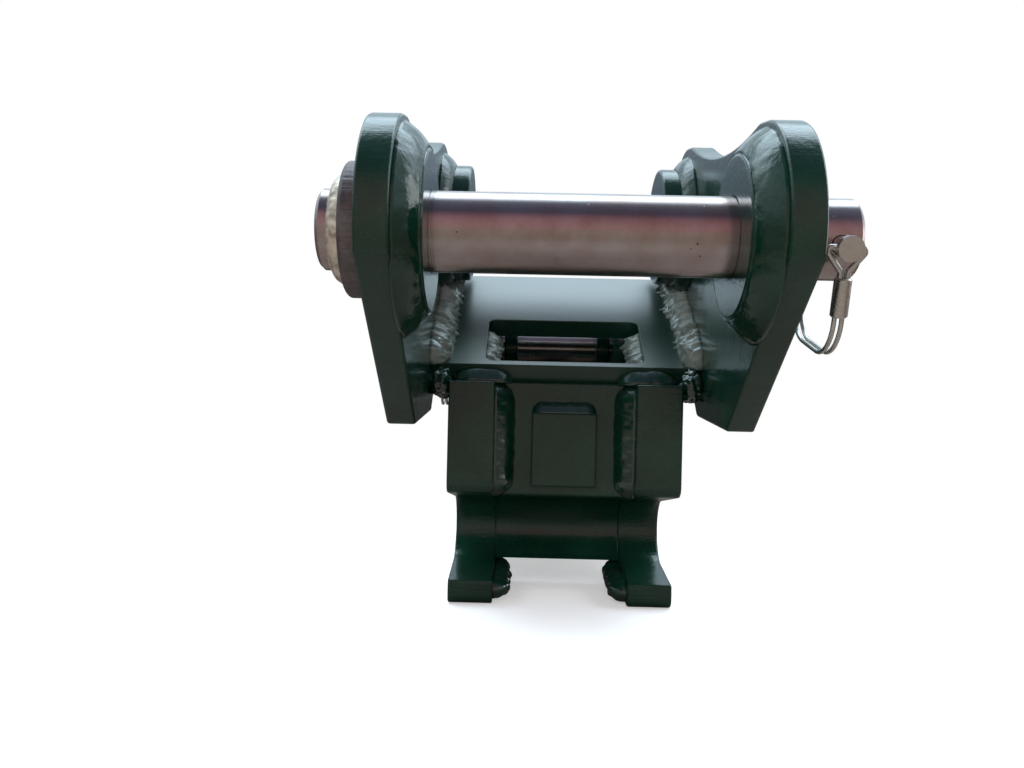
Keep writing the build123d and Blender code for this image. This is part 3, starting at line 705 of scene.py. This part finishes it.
class CouplerFinish(bpy.types.PropertyGroup):
    """Colours and surface depths of the coupler."""

    paint: bpy.props.FloatVectorProperty(
        name="Paint", description="Colour of the enamel", subtype="COLOR",
        default=(0.004, 0.042, 0.024), min=0, max=1,
    )
    steel: bpy.props.FloatVectorProperty(
        name="Pin steel", description="Colour of the ground pins", subtype="COLOR",
        default=(0.55, 0.50, 0.49), min=0, max=1,
    )
    scale: bpy.props.FloatVectorProperty(
        name="Mill scale", description="Colour of the flanges and washers", subtype="COLOR",
        default=(0.11, 0.10, 0.10), min=0, max=1,
    )
    bare: bpy.props.FloatVectorProperty(
        name="Bare weld", description="Colour of the unpainted weld", subtype="COLOR",
        default=(0.86, 0.78, 0.64), min=0, max=1,
    )
    plated: bpy.props.FloatVectorProperty(
        name="Zinc", description="Colour of the plated lock pins", subtype="COLOR",
        default=(0.72, 0.72, 0.70), min=0, max=1,
    )
    edge: bpy.props.FloatProperty(
        name="Edge rounding", description="Radius that paint gives the plates' edges",
        unit="LENGTH", default=0.0016, min=0.0002, max=0.004, precision=4,
    )


class CouplerWelds(bpy.types.PropertyGroup):
    """Sizes of the weld beads."""

    plate_leg: bpy.props.FloatProperty(
        name="Plate weld leg", description="Leg of the beads between plate and ears",
        unit="LENGTH", default=0.0145, min=0.004, max=0.02, precision=4,
    )
    corner_leg: bpy.props.FloatProperty(
        name="Corner weld leg", description="Leg of the upright beads beside the front cross plate",
        unit="LENGTH", default=0.0142, min=0.004, max=0.018, precision=4,
    )
    boss_leg: bpy.props.FloatProperty(
        name="Boss weld leg", description="Leg of the beads round the front bosses",
        unit="LENGTH", default=0.0138, min=0.003, max=0.016, precision=4,
    )


# Operators

class COUPLER_OT_materials(bpy.types.Operator):
    """Make the shared node groups and every material"""

    bl_idname = "coupler.materials"
    bl_label = "Make materials"

    def execute(self, context):
        finish = context.scene.coupler_finish
        GROUPS["flame cut edge"] = cut_edge_group()
        GROUPS["paint skin"] = paint_skin_group()
        GROUPS["edge wear"] = wear_group()
        paint = tuple(finish.paint)
        # Enamel colour paled towards white for the plate and window beads: glare painted into the
        # base colour as a painted highlight
        pale = tuple(GLARE_GAIN * c + GLARE for c in paint)
        paints = {
            "green_paint": ("green enamel", paint, 0.0, 0.8, 0.45, 0.13),
            "ear_paint": ("green enamel over smooth edges", paint, 0.16, 0.9, 0.6, 0.15),
            "cut_paint": ("green enamel over cut edges", paint, 0.55, 0.9, 0.6, 0.16),
            "weld_paint": ("green enamel on weld", paint, 0.0, 1.2, 1.4, 0.2, 1.0, 0.16),
            # Pale paint with painted glare, for the beads between plate and ears and in the window
            "run_paint": ("enamel over spattered weld", pale, 0.0, 1.6, 1.6, 0.26, 1.0, 0.24),
            "boss_weld_paint": ("green enamel on boss weld", paint, 0.0, 1.0, 1.2, 0.12),
            "plate_paint": ("satin green enamel", paint, 0.0, 0.7, 0.25, 0.40, 0.9, 0.34),
            "spring_steel": ("black spring steel", SPRING_BLACK, 0.0, 0.6, 0.4, 0.3),
        }
        for key, values in paints.items():
            MATERIALS[key] = enamel(*values)
        MATERIALS["polished_steel"] = turned_steel(
            "ground pin steel", tuple(finish.steel), ring_lines=900.0, pits=1.0, gloss=0.2
        )
        MATERIALS["mill_scale"] = mill_scale("mill scale", tuple(finish.scale))
        MATERIALS["bright_weld"] = bare_weld("bare weld", tuple(finish.bare))
        MATERIALS["zinc_plate"] = zinc("zinc plate", tuple(finish.plated))
        for node, made in frame["nodes"].items():
            dress(made, SLOT_OF[node])
        return {"FINISHED"}


PLATES = (
    "left_ear_plate", "right_ear_plate", "front_left_boss", "front_right_boss",
    "rear_left_boss", "rear_right_boss", "top_plate", "left_hook_plate",
    "right_hook_plate", "front_cross_plate", "front_pad_block", "jaw_liner",
    "seat_liner", "back_plate", "latch_left_cheek", "latch_right_cheek",
    "latch_hook_bar", "latch_spring_seat", "latch_lever_socket",
)


class COUPLER_OT_plates(bpy.types.Operator):
    """Give every painted plate rounded, painted edges"""

    bl_idname = "coupler.plates"
    bl_label = "Finish plates"

    def execute(self, context):
        for node in PLATES:
            finish = "green_paint"
            if node == "top_plate":
                finish = "plate_paint"
            elif node.endswith("ear_plate"):
                finish = "ear_paint"
            elif node.endswith(("hook_plate", "cheek")):
                finish = "cut_paint"
            dress(softened(node, context.scene.coupler_finish.edge), finish)
        return {"FINISHED"}


class COUPLER_OT_pins(bpy.types.Operator):
    """Finish the pins, flanges and washers"""

    bl_idname = "coupler.pins"
    bl_label = "Finish pins"

    def execute(self, context):
        for node in ("front_pin", "rear_pin", "latch_pivot_pin"):
            dress(softened(node, PIN_EDGE), "polished_steel")
        for name in ("front_pin", "rear_pin", "latch_pivot"):
            dress(softened(name + "_flange", FLANGE_EDGE), "mill_scale")
            dress(softened(name + "_washer", PIN_EDGE), "mill_scale")
        return {"FINISHED"}


class COUPLER_OT_spring(bpy.types.Operator):
    """Put a merged copy of the spring, in black spring steel, in its place"""

    bl_idname = "coupler.spring"
    bl_label = "Finish spring"

    def execute(self, context):
        node = "latch_spring"
        made = merged(node)
        dress(made, "spring_steel")
        front = axis_of(node)
        rear = axis_of(node)
        front[1] = low(node)[1]
        rear[1] = high(node)[1]
        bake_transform(made)
        return {"FINISHED"}


class COUPLER_OT_boss_welds(bpy.types.Operator):
    """Ring beads round the feet of the four bosses"""

    bl_idname = "coupler.boss_welds"
    bl_label = "Weld bosses"

    def execute(self, context):
        sizes = context.scene.coupler_welds
        rings = []
        legs = (("front", sizes.boss_leg), ("rear", REAR_BOSS_SHARE * sizes.boss_leg))
        for step, (end, leg) in enumerate(legs):
            seed = FIRST_SEED["boss"] + 2 * step
            for word, side in (("left", -1), ("right", 1)):
                node = f"{end}_{word}_boss"
                centre = axis_of(node)
                centre[0] = side * EAR_INNER
                radius = (high(node)[2] - low(node)[2]) / 2
                path = circle_path(centre, radius, count=360)
                outward = (path - centre) / radius
                rings.append(
                    bead(
                        node + "_bead", path, outward, -side * RIGHT, leg,
                        seed + side, BOSS_BEAD,
                    )
                )
        stand_in(joined("boss_weld_beads", rings), "boss_welds", "boss_weld_paint")
        return {"FINISHED"}


class COUPLER_OT_frame_welds(bpy.types.Operator):
    """Beads that join the plates of the frame"""

    bl_idname = "coupler.frame_welds"
    bl_label = "Weld plates"

    def execute(self, context):
        sizes = context.scene.coupler_welds
        self.plate_beads(sizes)
        self.cross_beads(sizes)
        self.window_beads()
        self.necks()
        self.lip_beads()
        self.ledge_beads()
        return {"FINISHED"}

    def plate_beads(self, sizes):
        """Heavy beads in the corners between the sloping plate and the ears."""
        parts = []
        for side in (-1, 1):
            seed = FIRST_SEED["plate"] + side
            start = PLATE_FRONT + side * EAR_INNER * RIGHT - RUN_OUT * ALONG
            path = straight(start, start + (PLATE_LENGTH + RUN_ON) * ALONG, count=330)
            parts.append(
                bead("run", path, NORMAL, -side * RIGHT, sizes.plate_leg, seed, PLATE_BEAD)
            )
        # These beads take the pale paint, whose paleness is a painted highlight
        stand_in(joined("plate_to_ear_beads", parts), "ear_plate_welds", "run_paint")

    def cross_beads(self, sizes):
        """Upright beads beside the front cross plate, and the ledge bead above its pad."""
        foot = low("front_cross_plate")[2]
        top = PLATE_FRONT[2] - PLATE_THICK * np.cos(SLOPE)
        parts = []
        for side in (-1, 1):
            seed = FIRST_SEED["corner"] + side
            start = np.array([side * HOOK_INNER, CROSS_FACE, foot + RUN_OUT])
            path = straight(start, [side * HOOK_INNER, CROSS_FACE, top], count=180)
            parts.append(
                bead("run", path, -BACK, -side * RIGHT, sizes.corner_leg, seed, CORNER_BEAD)
            )
        stand_in(joined("cross_plate_beads", parts), "cross_plate_welds", "weld_paint")
        pad_low, pad_high = low("front_pad_block"), high("front_pad_block")
        ledge = straight(
            [pad_low[0], CROSS_FACE, pad_high[2]],
            [pad_high[0], CROSS_FACE, pad_high[2]],
            count=240,
        )
        shelf = bead("pad_ledge_bead", ledge, -BACK, UP, PAD_LEG, FIRST_SEED["pad"], PAD_BEAD)
        place(shelf, "frame")
        dress(shelf, "weld_paint")

    def window_beads(self):
        """Short beads on the hook plates' top edges, inside the window."""
        parts = []
        for side in (-1, 1):
            wall = high("window_welds")[0] * side * RIGHT
            seed = FIRST_SEED["window"] + side
            start = PLATE_FRONT + wall - PLATE_THICK * NORMAL + WINDOW_START * ALONG
            path = straight(start, start + WINDOW_RUN * ALONG, count=140)
            parts.append(
                bead("run", path, NORMAL, -side * RIGHT, WINDOW_LEG, seed, WINDOW_BEAD)
            )
        # These beads take the pale paint, whose paleness is a painted highlight
        stand_in(joined("window_beads", parts), "window_welds", "run_paint")

    def necks(self):
        """Weld lumps between the hook plates' outer faces and the ears."""
        reach = (EAR_INNER - HOOK_OUTER) / 2
        middle = (EAR_INNER + HOOK_OUTER) / 2
        base = low("neck_welds")
        top = high("neck_welds")
        parts = []
        for side in (-1, 1):
            for step, (share_y, share_z, size) in enumerate(NECK_SPOTS):
                seed = FIRST_SEED["neck"] + 7 * step + side
                centre = (
                    side * middle,
                    base[1] + share_y * (top[1] - base[1]),
                    base[2] + share_z * (top[2] - base[2]),
                )
                radii = (NECK_REACH * reach, NECK_RADII[0] * size, NECK_RADII[1] * size)
                parts.append(lump("lump", centre, radii, seed, lift=0.25))
        stand_in(joined("neck_weld_lumps", parts), "neck_welds", "weld_paint")

    def lip_beads(self):
        """Lumpy welds on the lips' inner faces."""
        base, top = low("lip_welds"), high("lip_welds")
        parts = []
        for side in (-1, 1):
            inner = side * (HOOK_INNER - LIP_INSET)
            knots = [
                (inner, base[1] + 0.001, base[2] + 0.0065),
                (inner, base[1] + 0.030, base[2] + 0.0070),
                (inner, top[1] - 0.020, base[2] + 0.0095),
                (inner, top[1] - 0.006, top[2] - 0.0045),
            ]
            path = curve(knots, count=150)
            seed = FIRST_SEED["lip"] + side
            parts.append(tube("run", path, (LIP_WELD, LIP_HEIGHT), seed, **LIP_BEAD))
        stand_in(joined("lip_beads", parts), "lip_welds", "weld_paint")

    def ledge_beads(self):
        """Short beads on the hook plates' ledges, under the sloping plate."""
        base, top = low("ledge_welds"), high("ledge_welds")
        corner = np.array([0.0, top[1], base[2]])
        parts = []
        for side in (-1, 1):
            inner = corner + side * (HOOK_INNER - LEDGE_INSET) * RIGHT
            outer = corner + side * (HOOK_OUTER - LEDGE_GAP) * RIGHT
            path = straight(inner, outer, count=150)
            seed = FIRST_SEED["ledge"] + side
            parts.append(bead("run", path, UP, -BACK, LEDGE_LEG, seed, LEDGE_BEAD))
        stand_in(joined("ledge_beads", parts), "ledge_welds", "weld_paint")


class COUPLER_OT_flange_welds(bpy.types.Operator):
    """Bare beads that hold the flanges to the pins"""

    bl_idname = "coupler.flange_welds"
    bl_label = "Weld flanges"

    def execute(self, context):
        flanges = (("front_pin", -1), ("rear_pin", -1), ("latch_pivot", 1))
        for step, (name, side) in enumerate(flanges):
            node = name + "_flange_weld"
            start = high(node)[0] if side < 0 else low(node)[0]
            centre = axis_of(node)
            centre[0] = start
            leg = high(node)[0] - low(node)[0]
            outer = (high(node)[2] - low(node)[2]) / 2
            radius = outer - FLANGE_ROOT * leg
            path = circle_path(centre, radius, count=300)
            outward = (path - centre) / radius
            made = bead(
                name + "_flange_bead", path, outward, side * RIGHT, FLANGE_LEG * leg,
                FIRST_SEED["flange"] + step, FLANGE_BEAD,
            )
            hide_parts(node)
            place(made, BODY_OF[node])
            dress(made, "bright_weld")
        return {"FINISHED"}


# Stage

PHOTO_LENS = 29.9
CAMERA_AT = (-0.030, -0.474, -0.083)
CAMERA_YAW = 0.78
CAMERA_ROLL = 1.3
CAMERA_PITCH = -0.1
SENSOR_WIDTH = 36.0
FLOOR_HALF = 6.0
FLOOR_GAP = 0.0002


def area_light(name, at, aim, size, power, colour):
    """Rectangular softbox that faces a point."""
    data = bpy.data.lights.new(name, "AREA")
    data.shape = "RECTANGLE"
    data.size, data.size_y = size
    data.energy = power
    data.color = colour
    lamp = linked(name, data)
    lamp.location = at
    lamp.rotation_euler = (Vector(aim) - Vector(at)).to_track_quat("-Z", "Y").to_euler()
    return lamp


class COUPLER_OT_stage(bpy.types.Operator):
    """Pale floor, soft studio light and the camera"""

    bl_idname = "coupler.stage"
    bl_label = "Set the stage"

    def execute(self, context):
        self.floor()
        self.world(context.scene)
        overhead = area_light(
            "overhead", at=(-0.1, 1.15, 1.6), aim=(0, 0.35, 0), size=(3.0, 2.4),
            power=56, colour=(0.76, 0.90, 1.0),
        )
        overhead.visible_glossy = False
        fill = area_light(
            "front fill", at=(-0.5, -1.6, 0.5), aim=(0, 0.1, -0.1), size=(2.0, 1.5),
            power=15, colour=(1.0, 0.98, 0.96),
        )
        fill.visible_glossy = False
        area_light(
            "right rim", at=(1.5, 0.2, 0.5), aim=(0, 0.1, 0), size=(0.7, 1.2),
            power=6, colour=(0.95, 0.98, 1.0),
        )
        self.camera(context.scene)
        context.scene.view_settings.view_transform = "Standard"
        return {"FINISHED"}

    def floor(self):
        """Large pale floor under the hooks, which fades into the white around it."""
        corners = FLOOR_HALF * np.array([[-1, -1], [1, -1], [1, 1], [-1, 1]])
        points = np.column_stack([corners, np.full(len(corners), GROUND - FLOOR_GAP)])
        mesh = bpy.data.meshes.new("floor")
        mesh.from_pydata(points.tolist(), [], [(0, 1, 2, 3)])
        floor = linked("floor", mesh)
        material, nodes, shader = new_material("floor")
        shader.inputs["Roughness"].default_value = 0.9
        seen = nodes.add("ShaderNodeLightPath").outputs["Is Camera Ray"]
        shade = nodes.mix(seen, (0.24, 0.19, 0.16, 1), (0.93, 0.93, 0.93, 1))
        nodes.link(shade, shader.inputs["Base Color"])
        shader.inputs["Emission Color"].default_value = (1, 1, 1, 1)
        nodes.link(nodes.math("MULTIPLY", seen, 0.4), shader.inputs["Emission Strength"])
        spot = nodes.add("ShaderNodeTexCoord").outputs["Object"]
        reach = nodes.add("ShaderNodeVectorMath", operation="LENGTH")
        nodes.link(spot, reach.inputs[0])
        fade = nodes.ramp(reach.outputs["Value"], [(0.35, 0.0), (0.75, 1.0)])
        clear = nodes.add("ShaderNodeBsdfTransparent")
        blend = nodes.add("ShaderNodeMixShader")
        nodes.link(fade, blend.inputs[0])
        nodes.link(shader.outputs[0], blend.inputs[1])
        nodes.link(clear.outputs[0], blend.inputs[2])
        out = material.node_tree.nodes["Material Output"]
        nodes.link(blend.outputs[0], out.inputs[0])
        floor.data.materials.append(material)

    def world(self, scene):
        """White to the camera; other rays meet bright sky behind and shade in front.

        The colour follows the angle in the side plane, atan2(z, -y), from the ground under the
        part, over the camera's side and the zenith, to the bright horizon behind it.
        """
        world = bpy.data.worlds.new("studio")
        world.use_nodes = True
        scene.world = world
        tree = world.node_tree
        tree.nodes.clear()
        nodes = Nodes(tree)
        way = nodes.add("ShaderNodeTexCoord").outputs["Generated"]
        parts = nodes.add("ShaderNodeSeparateXYZ", Vector=way)
        ahead = nodes.math("MULTIPLY", parts.outputs[1], -1.0)
        angle = nodes.math("ARCTAN2", parts.outputs[2], ahead)
        sky = nodes.ramp(
            nodes.math("MULTIPLY_ADD", angle, 0.5 / np.pi, 0.5),
            [
                (0.00, (0.10, 0.09, 0.09, 1)),
                (0.22, (0.05, 0.045, 0.045, 1)),
                (0.27, (0.15, 0.125, 0.11, 1)),
                (0.50, (0.34, 0.285, 0.25, 1)),
                (0.535, (0.42, 0.255, 0.27, 1)),
                (0.60, (0.31, 0.185, 0.215, 1)),
                (0.645, (0.07, 0.07, 0.12, 1)),
                (0.75, (0.13, 0.15, 0.22, 1)),
                (0.77, (0.75, 0.92, 1.05, 1)),
                (0.79, (2.9, 3.6, 4.1, 1)),
                (0.85, (2.9, 3.6, 4.1, 1)),
                (0.875, (0.75, 0.92, 1.05, 1)),
                (0.93, (0.75, 0.92, 1.05, 1)),
                (0.965, (0.14, 0.17, 0.22, 1)),
            ],
        )
        side = nodes.math("ABSOLUTE", parts.outputs[0])
        beside = nodes.ramp(side, [(0.40, 0.0), (0.85, 1.0)])
        level = nodes.math("MULTIPLY_ADD", parts.outputs[2], 0.5, 0.5)
        flank = nodes.ramp(
            level,
            [
                (0.40, (0.16, 0.13, 0.11, 1)),
                (0.52, (0.20, 0.17, 0.17, 1)),
                (0.62, (0.30, 0.33, 0.38, 1)),
                (0.90, (0.80, 0.92, 1.0, 1)),
            ],
        )
        room = nodes.mix(beside, sky, flank)
        path = nodes.add("ShaderNodeLightPath")
        colour = nodes.mix(path.outputs["Is Camera Ray"], room, (1, 1, 1, 1))
        light = nodes.add("ShaderNodeBackground", Color=colour, Strength=1.0)
        out = nodes.add("ShaderNodeOutputWorld")
        tree.links.new(light.outputs[0], out.inputs[0])

    def camera(self, scene):
        """Camera at the photograph's place, level, with its slight yaw and roll."""
        data = bpy.data.cameras.new("camera")
        data.lens = PHOTO_LENS
        data.sensor_width = SENSOR_WIDTH
        data.clip_start = 0.01
        camera = linked("camera", data)
        turn = (
            Matrix.Rotation(np.radians(CAMERA_YAW), 4, "Z")
            @ Matrix.Rotation(np.radians(90 + CAMERA_PITCH), 4, "X")
            @ Matrix.Rotation(np.radians(CAMERA_ROLL), 4, "Z")
        )
        camera.matrix_world = Matrix.Translation(CAMERA_AT) @ turn
        scene.camera = camera


class COUPLER_PT_panel(bpy.types.Panel):
    """Sidebar panel with the coupler's sizes, colours and steps"""

    bl_idname = "COUPLER_PT_panel"
    bl_label = "Quick Coupler"
    bl_space_type = "VIEW_3D"
    bl_region_type = "UI"
    bl_category = "Coupler"

    def draw(self, context):
        for settings in (context.scene.coupler_finish, context.scene.coupler_welds):
            for key in settings.__annotations__:
                self.layout.prop(settings, key)
        for step in STEPS:
            self.layout.operator(step.bl_idname)


STEPS = (
    COUPLER_OT_materials, COUPLER_OT_plates, COUPLER_OT_pins,
    COUPLER_OT_spring, COUPLER_OT_boss_welds,
    COUPLER_OT_frame_welds, COUPLER_OT_flange_welds, COUPLER_OT_stage,
)
CLASSES = (CouplerFinish, CouplerWelds, *STEPS, COUPLER_PT_panel)


def register():
    """Register the classes and hang the settings on the scene."""
    for kind in CLASSES:
        bpy.utils.register_class(kind)
    bpy.types.Scene.coupler_finish = bpy.props.PointerProperty(type=CouplerFinish)
    bpy.types.Scene.coupler_welds = bpy.props.PointerProperty(type=CouplerWelds)


def unregister():
    """Undo what register did."""
    del bpy.types.Scene.coupler_welds
    del bpy.types.Scene.coupler_finish
    for kind in reversed(CLASSES):
        bpy.utils.unregister_class(kind)


def main():
    """Run every step in order."""
    register()
    bpy.ops.coupler.materials()
    bpy.ops.coupler.plates()
    bpy.ops.coupler.pins()
    bpy.ops.coupler.spring()
    bpy.ops.coupler.boss_welds()
    bpy.ops.coupler.frame_welds()
    bpy.ops.coupler.flange_welds()
    bpy.ops.coupler.stage()


if __name__ == "__main__":
    main()
